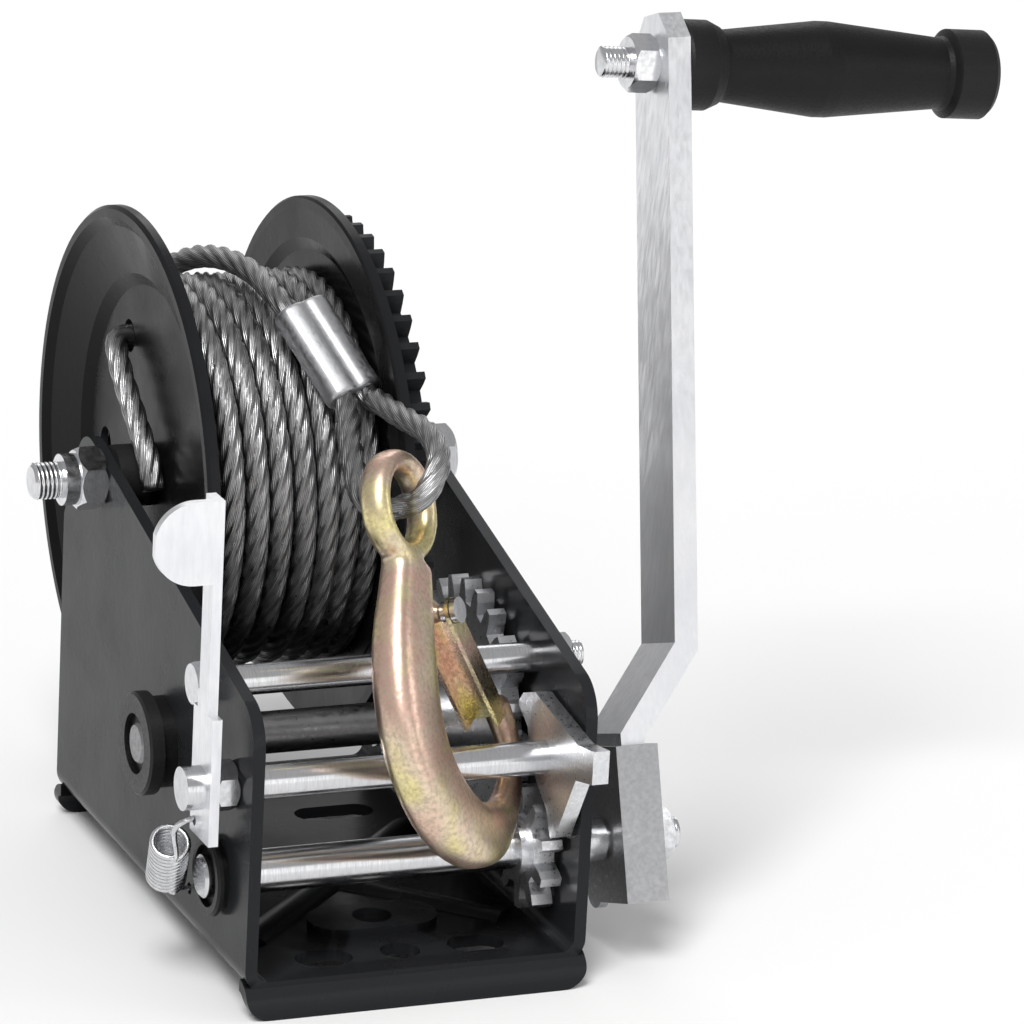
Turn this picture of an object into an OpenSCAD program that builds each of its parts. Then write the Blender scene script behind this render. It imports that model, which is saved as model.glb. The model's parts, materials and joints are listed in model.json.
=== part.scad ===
// Hand-cranked boat trailer winch with a two-stage gear train, a wire rope and a hook.
// X runs across the frame towards the crank, Y to the rear, Z up. Origin: middle of the
// rectangle that the base stands on.

/* [Frame] */
// Width of the channel frame across its two side plates
frame_w = 116; // [114:1:118]
// Length of the base from front to rear
frame_len = 194; // [190:1:198]
// Thickness of the frame's sheet steel
sheet = 4; // [3.5:0.25:4.5]
// Height of the base's underside above the ground, which its turned-down ends reach
base_lift = 8; // [7:0.5:9]

/* [Drum] */
// Radius of the rolled rims of the drum's two flanges
flange_r = 90; // [88:0.5:91]
// Radius of the drum's barrel, which the rope lies on
barrel_r = 31; // [30:0.5:32]
// Teeth on the drum gear
drum_teeth = 50; // [50:50]
// Teeth on the intermediate pinion that turns the drum
mid_pinion_teeth = 11; // [11:11]

/* [Drive] */
// Teeth on the intermediate gear
mid_teeth = 25; // [25:25]
// Teeth on the drive pinion
drive_teeth = 10; // [10:10]
// Length of the crank from the drive shaft to the grip's bolt
crank_len = 252; // [235:1:260]
// Lean of the crank back from upright, in degrees
crank_tilt = 19; // [10:1:25]
// Lean of the crank's upper bar away from the frame, in degrees
crank_splay = 4; // [0:1:6]
// Length of the crank's grip
grip_len = 113; // [108:1:122]

/* [Rope] */
// Diameter of the wire rope
rope_d = 8; // [7.5:0.5:8]
// Layers of rope wound on the drum
rope_layers = 5; // [4:1:5]

/* [Hidden] */

$fn = 64;
clear = 0.3;            // gap between parts that move past each other
bore_clear = 0.05;      // radial clearance of a shaft in its bush or bore

// Frame
half_w = frame_w / 2;
half_len = frame_len / 2;
wall_in = half_w - sheet;
floor_z = base_lift + sheet;
bend_r = 8;             // outer radius of the frame's bends
lip_out = 3;            // reach of the turned-down ends past the side plates

// Shaft positions in the side view, as [y, z]
axle = [60, 132];
drum_mod = 3.25;
drive_mod = 3.5;
mid_dir = 223.4;        // direction from the drum axle to the intermediate shaft
drive_dir = 205;        // direction from the intermediate shaft to the drive shaft
drum_dist = drum_mod * (drum_teeth + mid_pinion_teeth) / 2;
drive_dist = drive_mod * (mid_teeth + drive_teeth) / 2;
mid = axle + drum_dist * [cos(mid_dir), sin(mid_dir)];
drive = mid + drive_dist * [cos(drive_dir), sin(drive_dir)];
pivot = [-80, 73];      // rod that the pawl and the selector lever turn on
tie = [-54, 98];        // front tie rod

// Radii of the shafts
axle_r = 6;
mid_r = 7;
drive_r = 7;
pivot_r = 5;
tie_r = 4;

// Places along X
rim_left = -51;
rim_right = 16;
web_left = -40;         // outer face of the dished left flange's web
web_right = 18.5;       // inner face of the right flange's web
flange_t = 2.5;
gear_x = 22;            // inner face of the drum gear
gear_w = 7;
mid_gear_x = 45.5;
mid_gear_w = 6;
drive_gear_x = 45.4;
drive_gear_w = 7.1;
pawl_x = 47.5;
pawl_w = 5.5;
lever_x = -69;          // outer face of the selector lever
lever_w = 3.2;

// Crank
bracket_x = 75;
bracket_w = 14.6;
bar_w = 28;
bar_t = 8;
bar_x = bracket_x + (bracket_w - bar_t) / 2;    // inner face of the bar in its bracket
bar_step = 21.5;        // sideways step of the bar between its two bends
bend_lo = 34;           // distance of the first bend from the drive shaft
bend_hi = 62;           // distance of the second bend from the drive shaft
grip_rise = crank_len - bend_hi;
grip_x = bar_x + bar_step + grip_rise * tan(crank_splay);   // inner face of the bar at the grip

// Rope
winding_r = barrel_r + rope_d * (1 + (rope_layers - 1) * 0.875);
wind_from = web_left + flange_t + clear;
wind_to = web_right - clear;
turns = round((wind_to - wind_from) / rope_d);
lead_r = winding_r + rope_d / 2 + 0.4;      // radius at which the rope's end crosses the winding

// Hook, in its own plane: u runs from the shank to the tip and w runs up
hook_turn = 44;         // turn of the hook's plane about a vertical line
hook_lean = 19;         // lean of the hook back towards the drum
hook_origin = [-1, -119, 43];
hook_eye_c = [38, 119];         // centre of the eye
hook_eye_out = 18.5;            // outer radius of the eye
hook_eye_in = 11.5;             // radius of the hole in the eye
hook_eye_t = 5.5;               // half thickness of the eye

// ---- shared shapes -------------------------------------------------------------

// Extrudes a side-view outline, drawn in Y and Z, along X
module along_x(from, len) {
    translate([from, 0, 0]) rotate([90, 0, 90]) linear_extrude(len) children();
}

// Extrudes a front-view outline, drawn in X and Z, along Y
module along_y(from, len) {
    translate([0, from + len, 0]) rotate([90, 0, 0]) linear_extrude(len) children();
}

// Cylinder along X on an axis given as [y, z]
module rod_x(at, from, to, r) {
    translate([from, at[0], at[1]]) rotate([0, 90, 0]) cylinder(h = to - from, r = r);
}

// Tube along X
module tube_x(at, from, to, r_out, r_in) {
    difference() {
        rod_x(at, from, to, r_out);
        rod_x(at, from - 1, to + 1, r_in);
    }
}

// Hexagon along X, flat_w across its flats
module hex_x(at, from, to, flat_w, turn = 0) {
    translate([from, at[0], at[1]]) rotate([turn, 0, 0]) rotate([0, 90, 0])
        cylinder(h = to - from, d = flat_w / cos(30), $fn = 6);
}

// Hexagon nut with chamfered corners on one or both ends
module nut_x(at, from, to, flat_w, r_in, turn = 0) {
    corner = flat_w / cos(30) / 2;
    difference() {
        intersection() {
            hex_x(at, from, to, flat_w, turn);
            translate([from, at[0], at[1]]) rotate([0, 90, 0]) rotate_extrude()
                polygon([[0, 0], [flat_w / 2, 0], [corner, corner - flat_w / 2],
                    [corner, to - from - corner + flat_w / 2], [flat_w / 2, to - from],
                    [0, to - from]]);
        }
        rod_x(at, from - 1, to + 1, r_in);
    }
}

// Two points where the outer tangent of circles a and b, as [x, y, r], touches them
function tangent(a, b) = let (
    d = [b[0] - a[0], b[1] - a[1]],
    turn = atan2(d[1], d[0]) - 90 + asin((a[2] - b[2]) / norm(d)),
    n = [cos(turn), sin(turn)]
) [[a[0], a[1]] + a[2] * n, [b[0], b[1]] + b[2] * n];

// Convex outline around corner circles listed anticlockwise as [x, y, r]
module rounded(corners) {
    count = len(corners);
    polygon([for (i = [0:count - 1]) each tangent(corners[i], corners[(i + 1) % count])]);
    for (c = corners) translate([c[0], c[1]]) circle(r = c[2]);
}

// Spur gear outline with straight-sided teeth; a tooth's middle lies at angle phase
module gear_outline(teeth, mod, phase) {
    pitch_r = teeth * mod / 2;
    tip_r = pitch_r + 0.9 * mod;
    root_r = pitch_r - 1.2 * mod;
    pitch_angle = 360 / teeth;
    tip_half = 0.115 * pitch_angle;
    pitch_half = 0.21 * pitch_angle;
    root_half = 0.30 * pitch_angle;
    polygon([for (i = [0:teeth - 1], p = [[root_r, -root_half], [pitch_r, -pitch_half],
        [tip_r, -tip_half], [tip_r, tip_half], [pitch_r, pitch_half], [root_r, root_half]])
        let (t = phase + i * pitch_angle + p[1]) p[0] * [cos(t), sin(t)]]);
}

// Unit vector from a to b
function unit(a, b) = (b - a) / norm(b - a);

// Round tube with flat ends swept through a list of points
module sweep(route, r, sides) {
    count = len(route);
    dirs = [for (i = [0:count - 1])
        unit(route[max(i - 1, 0)], route[min(i + 1, count - 1)])];
    rings = [for (i = [0:count - 1]) let (
        side = unit([0, 0, 0], cross(dirs[i], sweep_up)),
        up = cross(side, dirs[i])
    ) for (k = [0:sides - 1]) let (t = 360 * k / sides)
        route[i] + r * (cos(t) * side + sin(t) * up)];
    walls = [for (i = [0:count - 2], k = [0:sides - 1]) let (j = (k + 1) % sides)
        [i * sides + k, i * sides + j, (i + 1) * sides + j, (i + 1) * sides + k]];
    polyhedron(points = rings, faces = concat(walls,
        [[for (k = [sides - 1:-1:0]) k]],
        [[for (k = [0:sides - 1]) (count - 1) * sides + k]]), convexity = 8);
}

// A fixed direction that no part of a route runs along
sweep_up = [0.83, 0.48, -0.28];

// Catmull-Rom curve through the points of a route, steps pieces between neighbours
function spline(p, steps) = let (last = len(p) - 1) concat(
    [for (i = [0:last - 1], s = [0:steps - 1]) let (
        t = s / steps,
        a = p[max(i - 1, 0)], b = p[i], c = p[i + 1], d = p[min(i + 2, last)]
    ) 0.5 * (2 * b + (c - a) * t + (2 * a - 5 * b + 4 * c - d) * t * t
        + (3 * b - a - 3 * c + d) * t * t * t)], [p[last]]);

// ---- frame ----------------------------------------------------------------------

// Side plate in Y and Z: tall at the rear around the axle, sloping down to the front
module side_outline() {
    rounded([
        [half_len - 2, base_lift + 2, 2],
        [half_len - 4, 107, 4],
        [axle[0] + 12, axle[1] - 3, 13],
        [-half_len + 14, 89, 14],
        [-half_len + 2, base_lift + 2, 2]
    ]);
}

// Front view of the channel's outside, standing on bottom
module channel_ring(bottom) {
    difference() {
        union() {
            translate([-half_w, bottom + bend_r]) square([frame_w, 160 - bottom - bend_r]);
            translate([-half_w + bend_r, bottom]) square([frame_w - 2 * bend_r, bend_r + 1]);
            for (s = [-1, 1]) translate([s * (half_w - bend_r), bottom + bend_r]) circle(r = bend_r);
        }
        channel_space();
    }
}

// Space between the side plates and above the floor
module channel_space() {
    r = bend_r - sheet;
    translate([-wall_in, floor_z + r]) square([2 * wall_in, 170]);
    translate([-wall_in + r, floor_z]) square([2 * (wall_in - r), r + 1]);
    for (s = [-1, 1]) translate([s * (wall_in - r), floor_z + r]) circle(r = r);
}

// Turned-down front end of the base, in Y and Z
module lip_outline() {
    y = half_len + lip_out;
    difference() {
        union() {
            translate([-y + bend_r, floor_z - bend_r]) circle(r = bend_r);
            translate([-y, 0]) square([sheet, floor_z - bend_r]);
        }
        translate([-y + bend_r, floor_z - bend_r]) circle(r = bend_r - sheet);
        translate([-y + sheet, -bend_r]) square([2 * bend_r, bend_r + floor_z - bend_r]);
        translate([-y + bend_r, -bend_r]) square([2 * bend_r, floor_z + bend_r + 1]);
    }
}

module lip() {
    intersection() {
        along_x(-half_w, frame_w) lip_outline();
        along_y(-half_len - lip_out - 1, 2 * bend_r) channel_ring(0);
    }
}

// Slot or hole through the base, len long across the frame
module base_slot(x, y, len, w) {
    for (s = [-1, 1]) translate([x + s * (len - w) / 2, y, base_lift - 1])
        cylinder(h = sheet + 8, d = w);
    if (len > w) translate([x - (len - w) / 2, y - w / 2, base_lift - 1])
        cube([len - w, w, sheet + 8]);
}

base_hole_d = 13;
base_slot_len = 19;
base_pitch = 26;        // spacing of the holes across the base
base_hole_y = 82;       // distance of each row of holes from the middle of the base
rib_reach = 44;         // half width of the pressed cross
rib_y = -18;            // middle of the pressed cross
rib_w = 9;
rib_h = 2.4;
pad_y = -56;            // middle of the raised pad

// One arm of the pressed cross, with a rounded back
module base_rib(turn) {
    translate([0, rib_y, floor_z - 0.5]) rotate([0, 0, turn]) {
        len = rib_reach * sqrt(2);
        intersection() {
            translate([-len, 0, -rib_w + rib_h + 0.5]) rotate([0, 90, 0])
                cylinder(h = 2 * len, r = rib_w);
            translate([-len, -rib_w / 2 - 2, 0]) cube([2 * len, rib_w + 4, rib_h + 1]);
        }
    }
}

module base_pad() {
    len = 44;
    w = 22;
    for (s = [-1, 1]) translate([s * (len - w) / 2, pad_y, floor_z - 0.5])
        cylinder(h = rib_h + 0.5, d = w);
    translate([-(len - w) / 2, pad_y - w / 2, floor_z - 0.5]) cube([len - w, w, rib_h + 0.5]);
}

spring_hole = [-42, 24];    // hole in the left plate that the selector's spring hooks into

module side_frame() {
    color([0.06, 0.06, 0.065]) difference() {
        union() {
            intersection() {
                along_y(-half_len, frame_len) channel_ring(base_lift);
                along_x(-half_w, frame_w) side_outline();
            }
            lip();
            mirror([0, 1, 0]) lip();
            base_rib(45);
            base_rib(-45);
            base_pad();
        }
        for (s = [-1, 1]) {
            base_slot(0, s * base_hole_y, base_hole_d, base_hole_d);
            for (k = [-1, 1]) base_slot(k * base_pitch, s * base_hole_y, base_slot_len, base_hole_d);
            base_slot(s * 24, 44, 28, 12);
        }
        base_slot(0, pad_y, base_hole_d, base_hole_d);
        rod_x(axle, -half_w - 1, half_w + 1, axle_r + bore_clear);
        rod_x(tie, -half_w - 1, half_w + 1, tie_r + bore_clear);
        rod_x(mid, -half_w - 1, half_w + 1, bush_r);
        rod_x(drive, -half_w - 1, half_w + 1, bush_r);
        rod_x(pivot, -half_w - 1, half_w + 1, pivot_r + bore_clear);
        rod_x(spring_hole, -half_w - 1, -wall_in + 1, 2);
    }
}

// Bolt through the plates that the drum turns on, with its head outside the right plate
module drum_axle() {
    end = -half_w - 24;
    color([0.80, 0.81, 0.83]) {
        rod_x(axle, end + 1, half_w + 0.5, axle_r);
        translate([end, axle[0], axle[1]]) rotate([0, 90, 0])
            cylinder(h = 1, r1 = axle_r - 1, r2 = axle_r);
        nut_x(axle, half_w, half_w + 8, 19, 0);
    }
}

module axle_nut() {
    color([0.82, 0.83, 0.84]) {
        nut_x(axle, -half_w - 9, -half_w, 19, axle_r);
        difference() {
            rod_x(axle, -half_w - 14, -half_w - 9, 8.6);
            rod_x(axle, -half_w - 15, -half_w, axle_r);
        }
    }
}

hub_left = web_left - 3;    // left end of the drum's hub
hub_right = gear_x + gear_w + 1;

module axle_spacer_left() {
    color([0.05, 0.05, 0.055]) tube_x(axle, -wall_in, hub_left - clear, 10.5, axle_r);
}

module axle_spacer_right() {
    color([0.05, 0.05, 0.055]) tube_x(axle, hub_right + clear, wall_in, 10.5, axle_r);
}

module tie_bolt() {
    color([0.80, 0.81, 0.83]) {
        rod_x(tie, -half_w - 0.5, half_w + 11, tie_r);
        nut_x(tie, -half_w - 6, -half_w, 13, 0);
    }
}

module tie_tube() {
    color([0.78, 0.79, 0.81]) tube_x(tie, -wall_in, wall_in, 5, tie_r);
}

module tie_nut() {
    color([0.80, 0.81, 0.83]) nut_x(tie, half_w, half_w + 6.5, 13, tie_r);
}

bush_r = 10;

// Flanged bush in one plate; side is -1 for the left plate and 1 for the right one
module plate_bush(at, side, bore, collar_r, reach) {
    s = side;
    translate([s * wall_in, at[0], at[1]]) rotate([0, s * 90, 0]) rotate_extrude()
        polygon([[bore + bore_clear, -1.4], [bush_r + 2.5, -1.4], [bush_r + 2.5, 0], [bush_r, 0],
            [bush_r, sheet], [collar_r - 2, sheet], [collar_r - 2, sheet + reach * 0.45],
            [collar_r, sheet + reach * 0.5], [collar_r, sheet + reach - 0.8],
            [collar_r - 0.8, sheet + reach], [bore + 3, sheet + reach],
            [bore + 3, sheet + reach - 2], [bore + bore_clear, sheet + reach - 2]]);
}

module mid_bush_left() {
    color([0.07, 0.07, 0.07]) plate_bush(mid, -1, mid_r, 17, 10);
}

module mid_bush_right() {
    color([0.07, 0.07, 0.07]) plate_bush(mid, 1, mid_r, 14, 5);
}

module drive_bush_left() {
    color([0.07, 0.07, 0.07]) plate_bush(drive, -1, drive_r, 13, 4);
}

module drive_bush_right() {
    color([0.07, 0.07, 0.07]) plate_bush(drive, 1, drive_r, 13, 4);
}

// ---- drum -----------------------------------------------------------------------

module drum_barrel() {
    color([0.07, 0.07, 0.075]) difference() {
        union() {
            rod_x(axle, web_left + flange_t, web_right, barrel_r);
            rod_x(axle, hub_left, hub_right, 10.5);
        }
        rod_x(axle, hub_left - 1, hub_right + 1, axle_r + bore_clear);
        difference() {
            rod_x(axle, web_left + flange_t + 3, web_right - 3, barrel_r - 3);
            rod_x(axle, web_left, web_right, 10.5);
        }
    }
}

// Left flange's section, as [distance along X, radius] turned about the axle
module flange_left_outline() {
    t = flange_t;
    polygon([[web_left, 10.6], [web_left, 63], [web_left - 3, 67], [rim_left + 2.6, 83],
        [rim_left, 86], [rim_left, flange_r - 1.2], [rim_left + 1.2, flange_r],
        [rim_left + 4, flange_r], [rim_left + 4, flange_r - 2.6], [rim_left + 2.6, 86],
        [rim_left + 5.2, 84], [web_left + t - 2.6, 68.5], [web_left + t, 64],
        [web_left + t, 10.6]]);
}

module flange_right_outline() {
    t = flange_t;
    polygon([[web_right, 10.6], [web_right, 72], [rim_right + 0.6, 76], [rim_right, 86],
        [rim_right, flange_r - 0.8], [rim_right + 0.8, flange_r], [rim_right + 4, flange_r],
        [rim_right + 4, flange_r - 2.4], [rim_right + t, 86], [rim_right + t + 0.6, 77],
        [web_right + t, 73], [web_right + t, 10.6]]);
}

// Turns an outline drawn as [x, radius] about an axis along X
module turned_x(at) {
    translate([0, at[0], at[1]]) rotate([90, 0, 90]) rotate_extrude()
        rotate(90) mirror([0, 1, 0]) children();
}

rope_hole_r = 48.6;      // distance of the left flange's holes from the axle
rope_hole_dirs = [56, 206, 356];

module drum_flange_left() {
    color([0.05, 0.05, 0.055]) difference() {
        turned_x(axle) flange_left_outline();
        for (a = rope_hole_dirs)
            rod_x(axle + rope_hole_r * [cos(a), sin(a)], web_left - 5, web_left + 5, 5.6);
    }
}

module drum_flange_right() {
    color([0.05, 0.05, 0.055]) difference() {
        turned_x(axle) flange_right_outline();
        for (a = rope_hole_dirs)
            rod_x(axle + rope_hole_r * [cos(a), sin(a)], web_right - 5, web_right + 5, 5.6);
    }
}

module drum_gear() {
    color([0.06, 0.06, 0.06]) difference() {
        along_x(gear_x, gear_w) translate(axle) gear_outline(drum_teeth, drum_mod, mid_dir);
        rod_x(axle, gear_x - 1, gear_x + gear_w + 1, 10.6);
        for (k = [0:5]) rod_x(axle + 48 * [cos(60 * k), sin(60 * k)],
            gear_x - 1, gear_x + gear_w + 1, 12);
    }
}

// Outer shape of the wound rope: a ring for each turn of its top layer round a solid core
module rope_winding() {
    pitch = (wind_to - wind_from) / turns;
    color([0.62, 0.63, 0.65]) difference() {
        union() {
            rod_x(axle, wind_from, wind_to, winding_r - rope_d / 2);
            for (k = [0:turns - 1]) turned_x(axle)
                translate([wind_from + (k + 0.5) * pitch, winding_r - rope_d / 2])
                    circle(d = min(rope_d, pitch), $fn = 24);
        }
        rod_x(axle, wind_from - 1, wind_to + 1, barrel_r);
    }
}

// Short end of the rope that comes out through the left flange
tail_route = [[-36, 87.5, 172], [-41, 87.2, 172.4], [-45, 85, 171.5], [-46.6, 79, 168], [-47, 70, 161],
    [-46.5, 59, 152], [-46, 48, 142.5], [-45.5, 42, 132]];

module rope_tail() {
    color([0.62, 0.63, 0.65]) intersection() {
        sweep(spline(tail_route, 3), rope_d / 2, 10);
        rod_x(axle, -80, web_left, 80);
    }
}

// ---- gear train -----------------------------------------------------------------

drive_phase = 9;        // turn of the drive pinion from the place where a gap faces the gear

module mid_shaft() {
    color([0.30, 0.30, 0.31]) {
        rod_x(mid, -half_w - 8.5, half_w + 4.5, mid_r);
        translate([-half_w - 9.5, mid[0], mid[1]]) rotate([0, 90, 0])
            cylinder(h = 1, r1 = mid_r - 1, r2 = mid_r);
    }
}

module mid_gear() {
    phase = drive_dir - drive_phase * drive_teeth / mid_teeth;
    color([0.74, 0.75, 0.77]) difference() {
        union() {
            along_x(mid_gear_x, mid_gear_w) translate(mid) gear_outline(mid_teeth, drive_mod, phase);
            rod_x(mid, gear_x + gear_w + 2, mid_gear_x + 1, 12);
        }
        rod_x(mid, 0, half_w, mid_r);
    }
}

module mid_pinion() {
    phase = mid_dir + 180 + 180 / mid_pinion_teeth;
    color([0.70, 0.71, 0.73]) difference() {
        along_x(gear_x - 1, gear_w + 2) translate(mid)
            gear_outline(mid_pinion_teeth, drum_mod, phase);
        rod_x(mid, 0, half_w, mid_r);
    }
}

module drive_shaft() {
    color([0.78, 0.79, 0.80]) {
        rod_x(drive, -half_w - 5, bracket_x - 1, drive_r);
        rod_x(drive, bracket_x - 1.5, bracket_x + bracket_w + 11, 5);
        translate([-half_w - 6, drive[0], drive[1]]) rotate([0, 90, 0])
            cylinder(h = 1, r1 = drive_r - 1, r2 = drive_r);
    }
}

module drive_pinion() {
    phase = drive_dir + 180 + 180 / drive_teeth + drive_phase;
    color([0.74, 0.75, 0.77]) difference() {
        union() {
            along_x(drive_gear_x, drive_gear_w) translate(drive)
                gear_outline(drive_teeth, drive_mod, phase);
            rod_x(drive, drive_gear_x - 3, drive_gear_x + 1, 10.5);
        }
        rod_x(drive, 30, half_w, drive_r);
    }
}

// ---- crank ----------------------------------------------------------------------

// Puts a shape, drawn with its crank straight up from the origin, at the drive shaft
module on_crank() {
    translate([0, drive[0], drive[1]]) rotate([-crank_tilt, 0, 0]) children();
}

bracket_wall = 3;
bracket_gap = bracket_w - 2 * bracket_wall;

// U-shaped bracket on the drive shaft; its web is in front and the bar lies in it
module crank_bracket() {
    h_lo = 21;
    h_hi = 30;
    d = bar_w / 2 + clear;
    color([0.55, 0.56, 0.57]) on_crank() difference() {
        union() {
            translate([bracket_x, -d - bracket_wall, -h_lo])
                cube([bracket_w, 2 * d + bracket_wall, h_lo + h_hi]);
            translate([bracket_x, d - 4, -h_lo + 4]) rotate([0, 90, 0])
                cylinder(h = bracket_wall, r = 6);
        }
        translate([bracket_x + bracket_wall, -d, -h_lo - 1])
            cube([bracket_gap, 2 * d + 10, h_lo + h_hi + 2]);
        rod_x([0, 0], bracket_x - 1, bracket_x + bracket_w + 1, 5);
    }
}

// Flat bar with two bends, so that its upper part stands clear of the frame
module crank_arm() {
    x0 = bar_x;
    x1 = bar_x + bar_step;
    x2 = x1 + (crank_len + 16 - bend_hi) * tan(crank_splay);
    top = crank_len + 16;
    color([0.84, 0.85, 0.86]) on_crank() difference() {
        intersection() {
            along_y(-bar_w / 2, bar_w) polygon([[x0, -14], [x0 + bar_t, -14],
                [x0 + bar_t, bend_lo - 3], [x1 + bar_t, bend_hi - 3], [x2 + bar_t, top],
                [x2, top], [x1, bend_hi], [x0, bend_lo]]);
            along_x(x0 - 5, x2 - x0 + 20) polygon([[-bar_w / 2, -20], [bar_w / 2, -20],
                [bar_w / 2, top - 9], [bar_w / 2 - 8, top], [-bar_w / 2 + 8, top],
                [-bar_w / 2, top - 9]]);
        }
        rod_x([0, 0], x0 - 1, x0 + bar_t + 1, 5 + bore_clear);
        at_grip() translate([-10, 0, 0]) rotate([0, 90, 0]) cylinder(h = 30, r = 5 + bore_clear);
    }
}

// Frame of the grip: origin on the bar's inner face, X along the grip's bolt
module at_grip() {
    translate([grip_x, 0, crank_len]) rotate([0, crank_splay, 0]) children();
}

module drive_nut() {
    color([0.80, 0.81, 0.83]) on_crank()
        nut_x([0, 0], bracket_x + bracket_w, bracket_x + bracket_w + 8, 16, 5);
}

module grip_bolt() {
    color([0.80, 0.81, 0.83]) on_crank() at_grip() {
        rod_x([0, 0], -18, bar_t + grip_len - 8, 5);
        rod_x([0, 0], bar_t + grip_len - 12, bar_t + grip_len - 8, 8);
    }
}

module grip_nut() {
    color([0.82, 0.83, 0.84]) on_crank() at_grip() nut_x([0, 0], -9, 0, 17, 5, 12);
}

// Handle turned to a barrel shape between its collar and its end knob
module crank_grip() {
    g = grip_len;
    color([0.045, 0.045, 0.05]) on_crank() at_grip()
        translate([bar_t + clear, 0, 0]) rotate([0, 90, 0]) rotate_extrude() polygon([
            [5 + bore_clear, 0], [14.6, 0], [15, 1], [15, 10], [13.2, 14], [12, 14.5],
            [12, 16], [16, g * 0.44], [16, g * 0.48], [12, g * 0.84], [12.6, g * 0.855],
            [15, g * 0.87], [15, g - 2], [13.5, g - clear], [8.6, g - clear],
            [8.6, g - 13], [5 + bore_clear, g - 13]]);
}

// ---- pawl and selector ----------------------------------------------------------

module pawl_rod() {
    color([0.80, 0.81, 0.83]) {
        rod_x(pivot, lever_x - 3, half_w + 3, pivot_r);
        rod_x(pivot, lever_x - 6.5, lever_x, 7);
    }
}

module pawl_tube() {
    color([0.80, 0.81, 0.83]) tube_x(pivot, -wall_in + clear, pawl_x, 5.6, pivot_r);
}

// Two-armed pawl: the upper arm stops the intermediate gear, the lower one the pinion
module pawl() {
    color([0.70, 0.71, 0.72]) difference() {
        along_x(pawl_x, pawl_w) polygon([[-56, 83.5], [-60, 88], [-70, 91.5], [-75, 90.5],
            [-106, 86], [-119, 88], [-119, 77], [-106, 74], [-92, 50], [-88, 48], [-84, 56],
            [-74, 63], [-68, 70], [-65, 78]]);
        rod_x(pivot, pawl_x - 1, wall_in, pivot_r);
    }
}

lever_top = 168;
tab_h = 27;
tab_w = 19;

// Lever on the rod's left end, with a thumb tab bent outwards at its top
module selector_lever() {
    y = pivot[0];
    color([0.86, 0.86, 0.87]) {
        difference() {
            along_x(lever_x, lever_w) {
                translate([y - 4.5, 62]) square([9, lever_top - 62]);
                translate([y - 9, 56]) square([18, 42]);
                translate([y - 4.5, 94]) square([10, 10]);
            }
            rod_x(pivot, lever_x - 1, lever_x + lever_w + 1, pivot_r);
            rod_x([y + 5, 60], lever_x - 1, lever_x + lever_w + 1, 1.6);
        }
        intersection() {
            along_y(y - 4.5, 3) {
                translate([lever_x - 6, lever_top - tab_h / 2]) circle(d = tab_h);
                translate([lever_x - 6, lever_top - tab_h]) square([8, tab_h]);
            }
            translate([lever_x - tab_w, y - 10, 100]) cube([tab_w + lever_w, 20, 100]);
        }
    }
}

module lever_nut() {
    color([0.80, 0.81, 0.83]) nut_x(pivot, lever_x + lever_w, -half_w - 0.4, 15, pivot_r);
}

spring_r = 7;
spring_top = [lever_x + lever_w / 2, pivot[0] + 5, 60];
spring_foot = [-half_w, spring_hole[0], spring_hole[1]];

// Extension spring between the lever's lower end and the left plate, as its outer shape
module lever_spring() {
    d = spring_foot - spring_top;
    len = norm(d);
    color([0.80, 0.81, 0.83]) translate(spring_top + d * 0.26 + [-7.5, 0, 0])
        rotate([0, acos(d[2] / len), atan2(d[1], d[0])]) difference() {
            cylinder(h = len * 0.52, r = spring_r, $fn = 32);
            translate([0, 0, -1]) cylinder(h = len, r = spring_r - 1.8, $fn = 32);
        }
}

// ---- rope's free end --------------------------------------------------------------

// A point at radius r from the axle, at an angle a up from the front
function over_winding(x, a, r) = [x, axle[0] - r * cos(a), axle[1] + r * sin(a)];

ferrule_r = 6;          // radius of each of the ferrule's two lobes
ferrule_a = 60;         // angles of the ferrule's two ends over the winding
ferrule_b = 34;
ferrule_turn = (ferrule_a - ferrule_b) / 2;
ferrule_axis_r = (winding_r + ferrule_r + 0.4) / cos(ferrule_turn);
ferrule_from = over_winding(-4, ferrule_a, ferrule_axis_r);
ferrule_to = over_winding(7, ferrule_b, ferrule_axis_r);
ferrule_up = over_winding(0, ferrule_b + ferrule_turn, 1) - over_winding(0, 0, 0);
lobe = rope_d / 2 * unit([0, 0, 0], cross(ferrule_to - ferrule_from, ferrule_up));
lead_route = concat([for (k = [0:5]) over_winding(-30 + 4 * k, 148 - 14 * k, lead_r)],
    [ferrule_from + lobe]);

module rope_lead() {
    color([0.62, 0.63, 0.65]) sweep(spline(lead_route, 2), rope_d / 2, 10);
}

// Pressed sleeve that holds the rope's returned end beside the rope
module rope_ferrule() {
    color([0.80, 0.81, 0.82]) hull() for (s = [-1, 1])
        sweep([ferrule_from + s * lobe, ferrule_to + s * lobe], ferrule_r, 32);
}

// Loop of rope from the ferrule through the hook's eye and back
eye_route = concat([ferrule_to - lobe], [[11, -14, 175], [12, -32, 175], [13.5, -51.5, 175],
    [11.5, -67, 170.5], [4.5, -73, 161.5], [-0.6, -65, 155.5], [-5, -56, 152.5], [-6, -44, 155],
    [-2, -24, 164]], [ferrule_to + lobe]);

module rope_eye() {
    color([0.62, 0.63, 0.65]) sweep(spline(eye_route, 3), rope_d / 2, 10);
}

// ---- hook -------------------------------------------------------------------------

// Puts a shape drawn in the hook's plane, X across and Z up, at its stowed place
module on_hook() {
    translate(hook_origin) rotate([0, 0, hook_turn]) rotate([-hook_lean, 0, 0]) children();
}

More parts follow.
